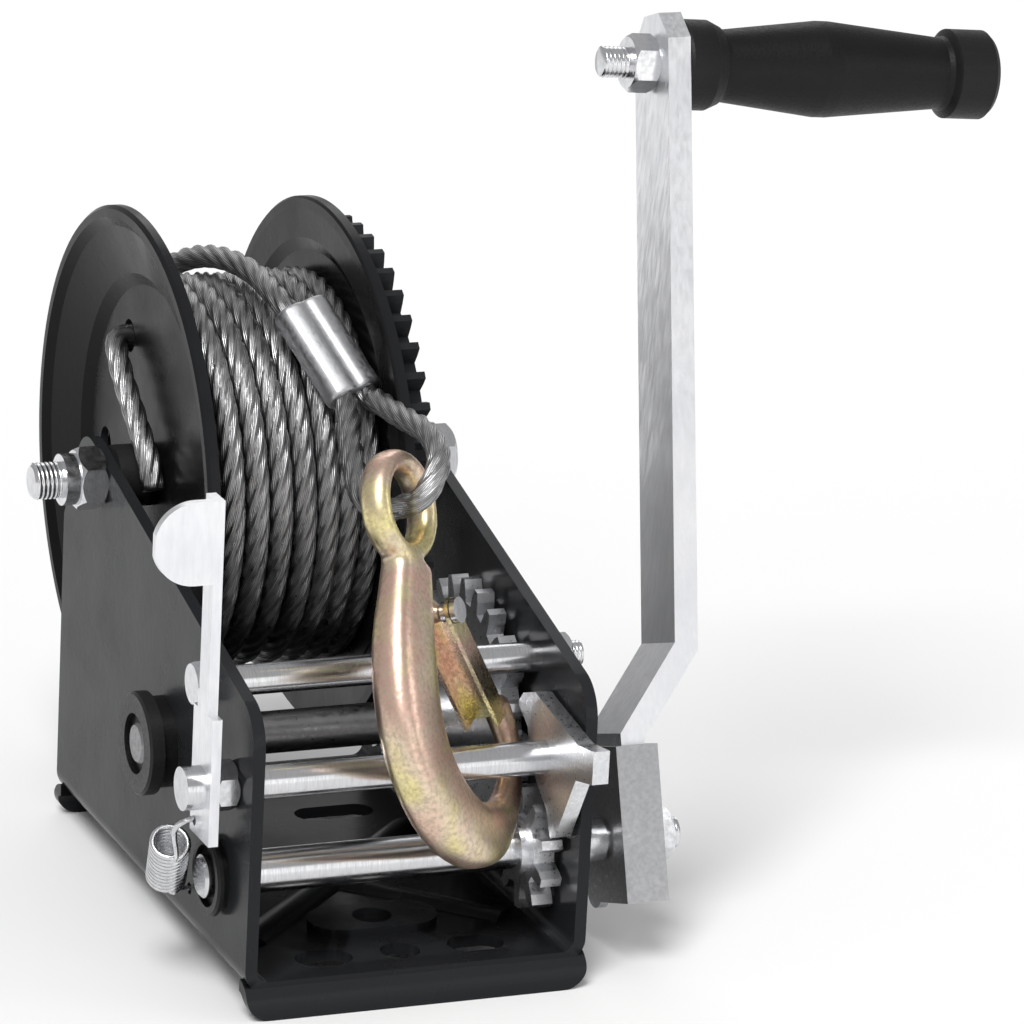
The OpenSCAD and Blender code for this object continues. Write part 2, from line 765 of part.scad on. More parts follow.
// Middle line of the hook's body as [u, w, half width, half thickness]
hook_line = [[34, 102, 10, 6], [27, 92, 11, 6.5], [18.5, 80, 12, 7.5], [12, 67, 12.5, 8],
    [8.5, 53, 12.5, 8], [9.5, 38, 12.5, 8], [16, 24, 12, 8], [27, 13.5, 11, 7.5],
    [39, 10.5, 10, 6.5], [50, 11.5, 7, 4.5], [60.7, 17.8, 6, 3.2], [68.5, 28.5, 5, 3.4],
    [67.5, 44, 5, 4.2]];
latch_pin = [44, 82];   // pivot of the latch, in the hook's plane
latch_tip = [58, 42];
latch_ear = 2.5;        // half thickness of the ear that the latch is riveted to
rivet_r = 2;

module hook_body() {
    last = len(hook_line) - 1;
    color([0.80, 0.72, 0.45]) on_hook() difference() {
        union() {
            for (i = [0:2:last - 1]) hull() for (j = [i:min(i + 2, last)]) hook_bead(hook_line[j]);
            hull() {
                hook_bead([32, 88, 6, latch_ear]);
                hook_bead([latch_pin[0], latch_pin[1], 3.4, latch_ear]);
            }
            hook_disc(hook_eye_c, hook_eye_out, hook_eye_t);
        }
        hook_disc(hook_eye_c, hook_eye_in, 20);
        hook_disc(latch_pin, rivet_r, 20);
    }
}

// Round disc in the hook's plane, t thick each way
module hook_disc(at, r, t) {
    translate([at[0], t, at[1]]) rotate([90, 0, 0]) cylinder(h = 2 * t, r = r);
}

module hook_bead(p) {
    translate([p[0], 0, p[1]]) scale([p[2], 1, p[2]]) rotate([90, 0, 0])
        cylinder(h = 2 * p[3], r = 1, center = true, $fn = 24);
}

latch_w = 13;           // width of the latch over its two cheeks
latch_t = 1.4;
latch_out = 3.6;        // distance of the latch's web from the line through its pivot
latch_in = 4.4;         // reach of its cheeks on the other side of that line

// Puts a shape on the latch: origin at its pivot, Z towards its tip, X towards the shank
module on_latch() {
    d = latch_tip - latch_pin;
    on_hook() translate([latch_pin[0], 0, latch_pin[1]])
        rotate([0, 90 - atan2(d[1], d[0]), 0]) children();
}

// Folded safety latch that closes the hook's mouth
module hook_latch() {
    len = norm(latch_tip - latch_pin);
    color([0.85, 0.72, 0.35]) on_latch() difference() {
        union() {
            translate([-latch_out, -latch_w / 2, 0]) cube([latch_out + latch_in, latch_w, len]);
            rotate([90, 0, 0]) cylinder(h = latch_w, r = latch_in, center = true);
        }
        translate([-latch_out + latch_t, -latch_w / 2 + latch_t, -10])
            cube([20, latch_w - 2 * latch_t, len + 20]);
        translate([-20, -latch_w / 2 + latch_t, -10])
            cube([20.5, latch_w - 2 * latch_t, 14.5]);
        rotate([90, 0, 0]) cylinder(h = 30, r = rivet_r + bore_clear, center = true);
    }
}

module latch_rivet() {
    head = 1.8;
    color([0.78, 0.78, 0.79]) on_latch() {
        rotate([90, 0, 0]) cylinder(h = latch_w + 1, r = rivet_r, center = true);
        for (s = [-1, 1]) translate([0, s * (latch_w / 2 + clear + head / 2), 0])
            rotate([90, 0, 0]) cylinder(h = head, r = 4.2, center = true);
    }
}

// Coil on the rivet with a leg that lies along the inside of the latch
module latch_spring() {
    wire = 1.2;
    cheek = latch_w / 2 - latch_t;
    color([0.75, 0.75, 0.76]) on_latch() {
        translate([0, -cheek + 2 * wire, 0]) rotate([90, 0, 0]) difference() {
            cylinder(h = 2 * wire, r = 3.3);
            translate([0, 0, -1]) cylinder(h = 10, r = 2.3);
        }
        translate([2.8, -cheek + wire / 2, 0]) rotate([0, -6, 0])
            cylinder(h = 22, d = wire, $fn = 24);
    }
}

side_frame();
drum_axle();
axle_nut();
axle_spacer_left();
axle_spacer_right();
tie_bolt();
tie_tube();
tie_nut();
mid_bush_left();
mid_bush_right();
drive_bush_left();
drive_bush_right();
drum_barrel();
drum_flange_left();
drum_flange_right();
drum_gear();
rope_winding();
rope_tail();
mid_shaft();
mid_gear();
mid_pinion();
drive_shaft();
drive_pinion();
drive_nut();
crank_bracket();
crank_arm();
grip_bolt();
grip_nut();
crank_grip();
pawl_rod();
pawl_tube();
pawl();
selector_lever();
lever_nut();
lever_spring();
rope_lead();
rope_ferrule();
rope_eye();
hook_body();
hook_latch();
latch_rivet();
latch_spring();
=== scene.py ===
"""Boat trailer winch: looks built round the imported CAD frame."""
import json
import math
import bpy
import numpy as np
from mathutils import Matrix, Vector


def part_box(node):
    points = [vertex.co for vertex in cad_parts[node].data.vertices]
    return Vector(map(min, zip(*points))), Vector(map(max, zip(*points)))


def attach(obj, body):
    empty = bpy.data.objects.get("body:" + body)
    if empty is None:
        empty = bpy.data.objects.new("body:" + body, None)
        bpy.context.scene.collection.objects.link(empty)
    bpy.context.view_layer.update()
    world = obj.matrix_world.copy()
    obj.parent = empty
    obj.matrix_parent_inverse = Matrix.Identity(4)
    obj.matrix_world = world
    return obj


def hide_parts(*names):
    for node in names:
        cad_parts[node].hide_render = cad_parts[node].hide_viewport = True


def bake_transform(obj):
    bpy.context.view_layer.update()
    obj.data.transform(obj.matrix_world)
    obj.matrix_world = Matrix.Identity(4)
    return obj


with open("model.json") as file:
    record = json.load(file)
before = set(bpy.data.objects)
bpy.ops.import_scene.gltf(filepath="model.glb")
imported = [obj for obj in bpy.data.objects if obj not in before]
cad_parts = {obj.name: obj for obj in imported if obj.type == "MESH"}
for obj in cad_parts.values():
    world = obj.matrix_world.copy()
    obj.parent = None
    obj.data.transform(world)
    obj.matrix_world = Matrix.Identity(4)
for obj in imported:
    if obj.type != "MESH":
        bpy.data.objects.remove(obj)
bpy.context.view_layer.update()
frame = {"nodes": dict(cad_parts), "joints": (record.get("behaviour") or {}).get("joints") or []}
nodes = frame["nodes"]
MM = 0.001

# ---- camera ----------------------------------------------------------------------

CAM_AZ, CAM_EL, CAM_ROLL = math.radians(-22.83), math.radians(17.11), math.radians(2.97)
CAM_DIST, CAM_LENS, CAM_SENSOR = 1.947, 206.9, 36.0
CAM_TARGET = Vector((0.0655, 0.0, 0.12955))

out = Vector((math.sin(CAM_AZ) * math.cos(CAM_EL), -math.cos(CAM_AZ) * math.cos(CAM_EL),
              math.sin(CAM_EL)))
right = (-out).cross(Vector((0, 0, 1))).normalized()
up = right.cross(-out)
cam_x = math.cos(CAM_ROLL) * right + math.sin(CAM_ROLL) * up
cam_y = -math.sin(CAM_ROLL) * right + math.cos(CAM_ROLL) * up
cam_data = bpy.data.cameras.new("camera")
cam_data.lens = CAM_LENS
cam_data.sensor_width = CAM_SENSOR
cam = bpy.data.objects.new("camera", cam_data)
cam_turn = Matrix((cam_x, cam_y, out)).transposed().to_4x4()
cam.matrix_world = Matrix.Translation(CAM_TARGET + CAM_DIST * out) @ cam_turn
bpy.context.collection.objects.link(cam)
bpy.context.scene.camera = cam


# ---- mesh helpers -----------------------------------------------------------------

def unit(v):
    return v / np.linalg.norm(v)


def new_object(name, verts, faces, uvs=None):
    """Smooth-shaded mesh object in the scene; uvs holds a pair for each corner of each face."""
    mesh = bpy.data.meshes.new(name)
    mesh.from_pydata([tuple(v) for v in verts], [], faces)
    if uvs is not None:
        layer = mesh.uv_layers.new(name="UVMap")
        layer.data.foreach_set("uv", np.array(uvs, dtype=np.float32).reshape(-1))
    mesh.polygons.foreach_set("use_smooth", [True] * len(mesh.polygons))
    mesh.update()
    obj = bpy.data.objects.new(name, mesh)
    bpy.context.collection.objects.link(obj)
    return obj


def ring_faces(n, count, closed=False):
    """Skin over count rings of n points each, capped at both ends unless it closes on itself."""
    faces = []
    for k in range(count if closed else count - 1):
        m = (k + 1) % count
        for j in range(n):
            i = (j + 1) % n
            faces.append((k * n + j, k * n + i, m * n + i, m * n + j))
    if not closed:
        faces.append(tuple(range(n - 1, -1, -1)))
        faces.append(tuple((count - 1) * n + j for j in range(n)))
    return faces


def catmull(points, steps):
    """Points of a Catmull-Rom curve, steps between neighbours; works on rows of any width."""
    p = np.array(points, dtype=float)
    last = len(p) - 1
    rows = []
    for i in range(last):
        a, b, c, d = p[max(i - 1, 0)], p[i], p[i + 1], p[min(i + 2, last)]
        for s in range(steps):
            t = s / steps
            rows.append(0.5 * (2 * b + (c - a) * t + (2 * a - 5 * b + 4 * c - d) * t * t
                               + (3 * b - a - 3 * c + d) * t ** 3))
    rows.append(p[last])
    return np.array(rows)


def resample(points, gap):
    """Points evenly spaced along a line; gap is one spacing or one for each source point."""
    p = np.array(points, dtype=float)
    seg = np.linalg.norm(np.diff(p, axis=0), axis=1)
    at = np.concatenate([[0], np.cumsum(seg)])
    if np.isscalar(gap):
        want = np.linspace(0, at[-1], max(2, int(round(at[-1] / gap)) + 1))
    else:
        density = np.concatenate([[0], np.cumsum(seg / np.array(gap[:-1], dtype=float))])
        marks = np.linspace(0, density[-1], int(round(density[-1])) + 1)
        want = np.interp(marks, density, at)
    return np.stack([np.interp(want, at, p[:, k]) for k in range(3)], axis=1)


def side_vectors(path):
    """Two side vectors for each point of a path, carried along it without twist."""
    d = np.gradient(path, axis=0)
    d /= np.linalg.norm(d, axis=1)[:, None]
    side = unit(np.cross(d[0], [0.3, 0.2, 0.93]))
    sides = [side]
    for k in range(1, len(path)):
        side = side - d[k] * np.dot(side, d[k])
        side = unit(side)
        sides.append(side)
    s = np.array(sides)
    return s, np.cross(d, s)


UV_LENGTH = 50.0   # mm of tube that one unit of the texture covers


def tube(name, path, section):
    """Capped mesh swept along path. section(along) gives a ring's points as pairs in mm."""
    s, u = side_vectors(path)
    along = np.concatenate([[0], np.cumsum(np.linalg.norm(np.diff(path, axis=0), axis=1))])
    verts = []
    for k in range(len(path)):
        ring = section(along[k])
        verts.append(path[k] + ring[:, :1] * s[k] + ring[:, 1:] * u[k])
    n = len(ring)
    uvs = []
    for v0, v1 in zip(along[:-1] / UV_LENGTH, along[1:] / UV_LENGTH):
        for j in range(n):
            uvs += [(j / n, v0), ((j + 1) / n, v0), ((j + 1) / n, v1), (j / n, v1)]
    uvs += [(0.5, 0.0)] * (2 * n)
    return new_object(name, np.concatenate(verts) * MM, ring_faces(n, len(path)), uvs)


def strand_section(radius, lay=52.0, strands=6, per=5, depth=0.80):
    """Outline of a stranded rope that turns once in lay mm; depth sets how deep the grooves go."""
    n = strands * per
    a = np.arange(n) * 2 * math.pi / n
    off = ((a + math.pi / strands) % (2 * math.pi / strands)) - math.pi / strands
    dist, rs = radius * 2 / 3, radius / 3
    inside = np.maximum(rs ** 2 - (dist * np.sin(off)) ** 2, 0)
    r = np.maximum(dist * np.cos(off) + np.sqrt(inside), depth * radius)

    def section(along):
        t = a + 2 * math.pi * along / lay
        return np.stack([r * np.cos(t), r * np.sin(t)], axis=1)
    return section


def round_section(radius, n):
    a = np.arange(n) * 2 * math.pi / n
    ring = np.stack([radius * np.cos(a), radius * np.sin(a)], axis=1)
    return lambda along: ring


def bake(obj):
    """Applies an object's modifiers to its mesh."""
    deps = bpy.context.evaluated_depsgraph_get()
    mesh = bpy.data.meshes.new_from_object(obj.evaluated_get(deps))
    obj.modifiers.clear()
    old = obj.data
    obj.data = mesh
    bpy.data.meshes.remove(old)


# ---- sizes shared with the CAD --------------------------------------------------

def mid_of(node):
    lo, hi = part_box(node)
    return [(a + b) / 2 / MM for a, b in zip(lo, hi)]


def low(node, k):
    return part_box(node)[0][k] / MM


def high(node, k):
    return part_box(node)[1][k] / MM


rope_d = 8.0
axle = np.array(mid_of("drum_axle")[1:])
winding_r = (high("rope_winding", 2) - low("rope_winding", 2)) / 2
wind_from, wind_to = low("rope_winding", 0), high("rope_winding", 0)
barrel_r = 31.0
layers, turns = 5, 7
pitch = (wind_to - wind_from) / turns
layer_step = 0.875 * rope_d


def over_winding(x, a, r):
    """Point at x, at a degrees up from the front of the drum and r mm from the axle."""
    a = math.radians(a)
    return np.array([x, axle[0] - r * math.cos(a), axle[1] + r * math.sin(a)])


# ---- ropes ------------------------------------------------------------------------

TURN_POINTS = 30                      # points on each turn
TURN_START = 205                      # angle at which each turn begins
STEP_AT, STEP_DRIFT = 0.60, 0.06      # where in a turn it steps over, and how much that varies
STEP_SHARE = 0.38                     # share of the turn that stepping over takes
SLANT, WAVE, SINK = 1.6, 0.2, 0.35    # mm by which the lay is uneven
SEEN_GAP, HIDDEN_GAP = 2.3, 7.5       # mm between points on the outer and the inner layers


def winding_path():
    """Layers of turns, each turn lying straight and stepping over near its end."""
    points, gaps = [], []
    turn = 0
    for layer in range(layers):
        outer = layer == layers - 1
        r = barrel_r + rope_d / 2 + layer * layer_step
        step_at = STEP_AT + STEP_DRIFT * math.sin(2.1 * layer + 0.4)
        way = 1 if layer % 2 == 0 else -1
        for k in range(turns):
            last = k == turns - 1
            place = k if way > 0 else turns - 1 - k
            room = min(place, turns - 1 - place) / 3
            for i in range(TURN_POINTS):
                f = i / TURN_POINTS
                s = min(max((f - step_at) / STEP_SHARE, 0), 1)
                s = s * s * (3 - 2 * s)
                a = TURN_START - 360 * f
                x = wind_from + (place + 0.5) * pitch + (0.0 if last else way * s * pitch)
                lift = s * layer_step if last and not outer else 0.0
                slant = SLANT * room * math.sin(math.radians(a) + 0.5 * layer)
                wave = WAVE * room * math.sin(2.3 * turn + 2 * math.pi * f)
                sink = 0.0
                if outer and 0 < k < turns - 1:
                    sink = SINK * (1 - math.cos(1.7 * turn + 3.0 * f))
                points.append(over_winding(x + slant + wave, a, r + lift - sink))
                gaps.append(SEEN_GAP if outer else HIDDEN_GAP)
            turn += 1
    return points, gaps


# The sleeve lies along a chord over the winding, from one angle to the other
SLEEVE_FROM, SLEEVE_TO = 60, 34
REST_GAP = 0.4                        # mm between the winding and what lies on it
ferrule_r = 6.0
ferrule_turn = (SLEEVE_FROM - SLEEVE_TO) / 2
ferrule_axis_r = (winding_r + ferrule_r + REST_GAP) / math.cos(math.radians(ferrule_turn))
ferrule_from = over_winding(-4, SLEEVE_FROM, ferrule_axis_r)
ferrule_to = over_winding(7, SLEEVE_TO, ferrule_axis_r)
ferrule_up = over_winding(0, SLEEVE_TO + ferrule_turn, 1) - over_winding(0, 0, 0)
lobe = rope_d / 2 * unit(np.cross(ferrule_to - ferrule_from, ferrule_up))
lead_r = winding_r + rope_d / 2 + REST_GAP
ROPE_R, FREE_ROPE_R = 3.9, 3.98       # a little under rope_d / 2, so that turns don't merge

points, gaps = winding_path()
wind_line = resample(points, gaps)
winding = tube("rope_on_drum", wind_line, strand_section(ROPE_R, depth=0.74))
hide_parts("rope_winding")
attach(winding, "drum")

# Free end: up out of the winding, over it, through the ferrule, round the hook's eye and back
start = [over_winding(-34, 182, 60), over_winding(-33.4, 172, 64), over_winding(-32, 160, 69)]
lead_route = start + [over_winding(-30 + 4 * k, 148 - 14 * k, lead_r) for k in range(6)]
eye_route = [[11, -14, 175], [12, -32, 175], [13.5, -51.5, 175], [11.5, -67, 170.5], [4.5, -73, 161.5],
             [-0.6, -65, 155.5], [-5, -56, 152.5], [-6, -44, 155], [-2, -24, 164]]
free_route = (lead_route + [ferrule_from + lobe, ferrule_to - lobe]
              + [np.array(p, dtype=float) for p in eye_route]
              + [ferrule_to + lobe, ferrule_to + lobe - 12 * unit(ferrule_to - ferrule_from)])
free_line = resample(catmull(free_route, 14), 2.0)
free_end = tube("rope_free_end", free_line, strand_section(FREE_ROPE_R))
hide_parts("rope_lead", "rope_eye")
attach(free_end, "frame")


SLEEVE_POINTS, SLEEVE_ROWS = 72, 12
LOBE_OUT, LOBE_SPREAD = 4.0, 1.9      # mm of each lobe's centre from the middle, and its flatness
GROOVE_DEPTH, GROOVE_W = 0.17, 1.9
SLEEVE_END = [(0.0, 0.90), (0.25, 0.95), (0.8, 0.985), (1.6, 1.0)]   # mm from the end, and size
RIPPLE = 0.012


def ferrule_sleeve():
    """Pressed sleeve with a shallow groove between its two lobes and rounded ends."""
    d = unit(ferrule_to - ferrule_from)
    s = unit(lobe)
    u = np.cross(d, s)
    long = float(np.linalg.norm(ferrule_to - ferrule_from))
    ring = []
    for k in range(SLEEVE_POINTS):
        t = 2 * math.pi * k / SLEEVE_POINTS
        side = LOBE_OUT * (1 if math.cos(t) > 0 else -1)
        a = side * min(1.0, abs(math.cos(t)) * LOBE_SPREAD) + ferrule_r * math.cos(t)
        b = ferrule_r * math.sin(t)
        b *= 1 - GROOVE_DEPTH * math.exp(-(a / GROOVE_W) ** 2)
        ring.append((a, b))
    straight = SLEEVE_END[-1][0]
    rows = SLEEVE_END + [(straight + (long - 2 * straight) * i / SLEEVE_ROWS,
                          1.0 + RIPPLE * math.sin(2.4 * i)) for i in range(1, SLEEVE_ROWS)]
    rows += [(long - at, size) for at, size in reversed(SLEEVE_END)]
    verts = []
    for at, size in rows:
        verts += [(ferrule_from + d * at + s * a * size + u * b * size) * MM for a, b in ring]
    return new_object("ferrule_sleeve", verts, ring_faces(len(ring), len(rows)))


sleeve = ferrule_sleeve()
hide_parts("rope_ferrule")
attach(sleeve, "frame")

tail_route = [[-36, 87.5, 172], [-41, 87.2, 172.4], [-45, 85, 171.5], [-46.6, 79, 168], [-47, 70, 161],
              [-46.5, 59, 152], [-46, 48, 142.5], [-45.5, 42, 132]]
tail_line = resample(catmull(tail_route, 14), 2.0)
tail = tube("rope_short_tail", tail_line, strand_section(ROPE_R))
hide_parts("rope_tail")
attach(tail, "drum")


# ---- materials --------------------------------------------------------------------

class Mat:
    """Small helper that lays out one node-based material."""

    def __init__(self, name, roughness, metallic, **sockets):
        self.mat = bpy.data.materials.new(name)
        self.mat.use_nodes = True
        self.tree = self.mat.node_tree
        self.bsdf = self.tree.nodes["Principled BSDF"]
        self.bsdf.inputs["Roughness"].default_value = roughness
        self.bsdf.inputs["Metallic"].default_value = metallic
        for key, value in sockets.items():
            self.bsdf.inputs[key.replace("_", " ")].default_value = value

    def node(self, kind, **values):
        made = self.tree.nodes.new(kind)
        for key, value in values.items():
            setattr(made, key, value)
        return made

    def link(self, a, b):
        self.tree.links.new(a, b)

    def put(self, value, socket):
        """Links an output to a socket, or sets the socket's own colour or number."""
        if hasattr(value, "links"):
            self.link(value, socket)
        elif isinstance(value, tuple):
            socket.default_value = (*value, 1.0)
        else:
            socket.default_value = value

    def coords(self, scale=(1, 1, 1), uv=False):
        tex = self.node("ShaderNodeTexCoord")
        mapping = self.node("ShaderNodeMapping")
        mapping.inputs["Scale"].default_value = scale
        self.link(tex.outputs["UV" if uv else "Object"], mapping.inputs["Vector"])
        return mapping.outputs["Vector"]

    def noise(self, size, stretch=(1, 1, 1), detail=4.0, rough=0.55):
        """Noise whose features are about size metres across."""
        made = self.node("ShaderNodeTexNoise")
        made.inputs["Scale"].default_value = 1.0 / size
        made.inputs["Detail"].default_value = detail
        made.inputs["Roughness"].default_value = rough
        self.link(self.coords(stretch), made.inputs["Vector"])
        return made.outputs["Fac"]

    def ramp(self, fac, stops):
        made = self.node("ShaderNodeValToRGB")
        bar = made.color_ramp
        while len(bar.elements) < len(stops):
            bar.elements.new(0.5)
        for element, (at, colour) in zip(bar.elements, stops):
            element.position = at
            element.color = (*colour, 1.0)
        self.link(fac, made.inputs["Fac"])
        return made.outputs["Color"]

    def grey(self, fac, stops):
        return self.ramp(fac, [(at, (v, v, v)) for at, v in stops])

    def mix(self, fac, a, b):
        made = self.node("ShaderNodeMix", data_type="RGBA")
        for value, socket in ((fac, made.inputs[0]), (a, made.inputs[6]), (b, made.inputs[7])):
            self.put(value, socket)
        return made.outputs[2]

    def maths(self, operation, *values):
        made = self.node("ShaderNodeMath", operation=operation)
        for value, socket in zip(values, made.inputs):
            self.put(value, socket)
        return made.outputs[0]

    def bump(self, height, strength, distance):
        made = self.node("ShaderNodeBump")
        made.inputs["Strength"].default_value = strength
        made.inputs["Distance"].default_value = distance
        self.link(height, made.inputs["Height"])
        return made.outputs["Normal"]

    def edges(self, low_at, high_at):
        """0 to 1 between two values of pointiness, where 0.5 is flat."""
        geo = self.node("ShaderNodeNewGeometry")
        return self.grey(geo.outputs["Pointiness"], [(low_at, 0.0), (high_at, 1.0)])

    def out(self, colour=None, roughness=None, normal=None):
        for value, key in ((colour, "Base Color"), (roughness, "Roughness"), (normal, "Normal")):
            if value is not None:
                self.link(value, self.bsdf.inputs[key])
        return self.mat


def black_enamel(name, base=0.003, rough=0.22):
    """Black paint with light dust and slightly worn edges."""
    m = Mat(name, rough, 0.0, Coat_Weight=0.03, Coat_Roughness=0.08, Specular_IOR_Level=0.09)
    cloud = m.noise(0.06, detail=3)
    dust = m.noise(0.0016, detail=2)
    colour = m.ramp(cloud, [(0.3, (base, base, base * 1.05)),
                            (0.75, (base * 1.9, base * 1.9, base * 2.05))])
    worn = m.mix(m.edges(0.53, 0.62), colour, (0.018, 0.019, 0.021))
    speck = m.mix(m.grey(dust, [(0.70, 0.0), (0.80, 0.35)]), worn, (0.014, 0.014, 0.015))
    roughness = m.grey(m.noise(0.03), [(0.3, rough * 0.75), (0.7, rough * 1.45)])
    normal = m.bump(m.noise(0.0032, detail=2), 0.10, 0.0004)
    return m.out(speck, roughness, normal)


def zinc(name, tone, rough, stretch=(1, 1, 1), grain=0.002, dark=0.55):
    """Zinc plating: a clouded tone with a fine grain that stretch draws out into strokes."""
    m = Mat(name, rough, 1.0)
    cloud = m.noise(0.018, detail=5)
    fine = m.noise(grain, stretch, detail=3)
    colour = m.ramp(cloud, [(0.28, (tone * 0.86, tone * 0.87, tone * 0.90)),
                            (0.72, (tone, tone * 1.005, tone * 1.02))])
    colour = m.mix(m.grey(fine, [(0.35, 0.35), (0.62, 0.0)]), colour,
                   (tone * dark, tone * dark, tone * dark * 1.04))
    roughness = m.grey(fine, [(0.3, rough * 1.35), (0.7, rough * 0.75)])
    return m.out(colour, roughness, m.bump(fine, 0.12, 0.00012))


WIRES, WIRE_DRIFT = 42, 12   # wires round the rope, and wires crossed in going UV_LENGTH along it


def wire(name, tone=0.54):
    """Stranded galvanised rope: fine wires run along it, with painted shade between the wires and darker
    painted shade in the grooves between strands.
    """
    m = Mat(name, 0.36, 1.0)
    split = m.node("ShaderNodeSeparateXYZ")
    m.link(m.coords((1, 1, 1), uv=True), split.inputs[0])
    wires = m.maths("MULTIPLY", split.outputs[0], 2 * math.pi * WIRES)
    drift = m.maths("MULTIPLY", split.outputs[1], 2 * math.pi * WIRE_DRIFT)
    wave = m.maths("SINE", m.maths("ADD", wires, drift))
    half = m.maths("MULTIPLY_ADD", wave, 0.5, 0.5)
    cloud = m.noise(0.012, detail=5)
    colour = m.ramp(cloud, [(0.3, (tone * 0.62, tone * 0.62, tone * 0.63)),
                            (0.7, (tone, tone, tone * 1.01))])
    # painted shade: darker colour in the gaps between the wires
    wire_gap_shade = m.grey(half, [(0.0, 0.85), (0.5, 0.0)])
    colour = m.mix(wire_gap_shade, colour, (tone * 0.22, tone * 0.21, tone * 0.21))
    # painted shade: near-black colour in the grooves between strands, found by low pointiness
    strand_groove_shade = m.edges(0.40, 0.49)
    colour = m.mix(strand_groove_shade, (0.035, 0.034, 0.032), colour)
    rough = m.grey(m.noise(0.003), [(0.3, 0.26), (0.7, 0.42)])
    return m.out(colour, rough, m.bump(half, 0.5, 0.0002))


def yellow_zinc(name, stretch=(1, 1, 1), band=0.030, rough=0.34):
    """Yellow passivated zinc: gold that drifts to pink and green in bands, fine tumbled grain."""
    m = Mat(name, rough, 1.0)
    drift = m.noise(band, stretch, detail=2, rough=0.5)
    tints = m.ramp(drift, [(0.20, (0.66, 0.60, 0.30)), (0.38, (0.84, 0.74, 0.36)),
                           (0.48, (0.80, 0.66, 0.50)), (0.58, (0.82, 0.55, 0.46)),
                           (0.70, (0.80, 0.76, 0.40)), (0.88, (0.62, 0.68, 0.48))])
    grain = m.noise(0.0015, detail=5)
    colour = m.mix(m.grey(grain, [(0.34, 0.50), (0.60, 0.0)]), tints, (0.36, 0.29, 0.20))
    blotch = m.noise(0.007, detail=5)
    colour = m.mix(m.grey(blotch, [(0.55, 0.0), (0.75, 0.25)]), colour, (0.88, 0.84, 0.72))
    roughness = m.grey(grain, [(0.3, rough * 1.35), (0.7, rough * 0.85)])
    return m.out(colour, roughness, m.bump(grain, 0.35, 0.0002))


def matt_plastic(name, base, rough):
    """Dull black with a fine moulded grain."""
    m = Mat(name, rough, 0.0, Specular_IOR_Level=0.22)
    fine = m.noise(0.0009, detail=3)
    cloud = m.noise(0.03)
    colour = m.ramp(cloud, [(0.3, (base, base, base)), (0.75, (base * 2.0, base * 2.0, base * 2.1))])
    colour = m.mix(m.edges(0.52, 0.60), colour, (base * 4, base * 4, base * 4))
    roughness = m.grey(fine, [(0.3, rough * 1.2), (0.7, rough * 0.8)])
    return m.out(colour, roughness, m.bump(fine, 0.35, 0.0003))


enamel = black_enamel("black_enamel")
plate_enamel = black_enamel("black_plate_enamel", 0.004, 0.26)
gear_enamel = black_enamel("black_gear_enamel", 0.003, 0.32)
bush_black = matt_plastic("bush_black", 0.004, 0.38)
grip_black = matt_plastic("grip_black", 0.003, 0.46)
bright = zinc("bright_zinc", 0.82, 0.20)
turned = zinc("turned_zinc", 0.76, 0.20, (14, 1, 1), 0.004)
bar_plate = zinc("bar_zinc", 0.93, 0.38, (1, 1, 0.16), 0.0015, 0.80)
teeth_zinc = zinc("gear_zinc", 0.82, 0.32, (1, 1, 1), 0.0014, 0.6)
dull_zinc = zinc("dull_zinc", 0.50, 0.36, (1, 1, 1), 0.0016, 0.6)
dark_steel = zinc("dark_steel", 0.30, 0.36, (1, 1, 1), 0.0016, 0.6)
spring_zinc = zinc("spring_zinc", 0.74, 0.24)
alu = zinc("ferrule_aluminium", 0.58, 0.42, (1, 1, 1), 0.0012, 0.75)
rope_mat = wire("rope_wire")
gold = yellow_zinc("yellow_zinc")
gold_plate = yellow_zinc("yellow_zinc_sheet", (1, 1, 0.55), 0.022, 0.24)

looks = {
    "side_frame": enamel, "drum_axle": turned, "axle_nut": bright, "axle_spacer_left": bush_black,
    "axle_spacer_right": bush_black, "tie_bolt": bright, "tie_tube": turned, "tie_nut": bright,
    "mid_bush_left": bush_black, "mid_bush_right": bush_black, "drive_bush_left": bush_black,
    "drive_bush_right": bush_black, "drum_barrel": plate_enamel, "drum_flange_left": plate_enamel,
    "drum_flange_right": plate_enamel, "drum_gear": gear_enamel, "rope_winding": rope_mat,
    "rope_tail": rope_mat, "mid_shaft": dark_steel, "mid_gear": teeth_zinc, "mid_pinion": teeth_zinc,
    "drive_shaft": turned, "drive_pinion": teeth_zinc, "drive_nut": bright, "crank_bracket": dull_zinc,
    "crank_arm": bar_plate, "grip_bolt": bright, "grip_nut": bright, "crank_grip": grip_black,
    "pawl_rod": turned, "pawl_tube": turned, "pawl": teeth_zinc, "selector_lever": bar_plate,
    "lever_nut": bright, "lever_spring": spring_zinc, "rope_lead": rope_mat, "rope_ferrule": alu,
    "rope_eye": rope_mat, "hook_body": gold, "hook_latch": gold_plate, "latch_rivet": bright,
    "latch_spring": spring_zinc,
}


def dress(obj, mat):
    obj.data.materials.clear()
    obj.data.materials.append(mat)


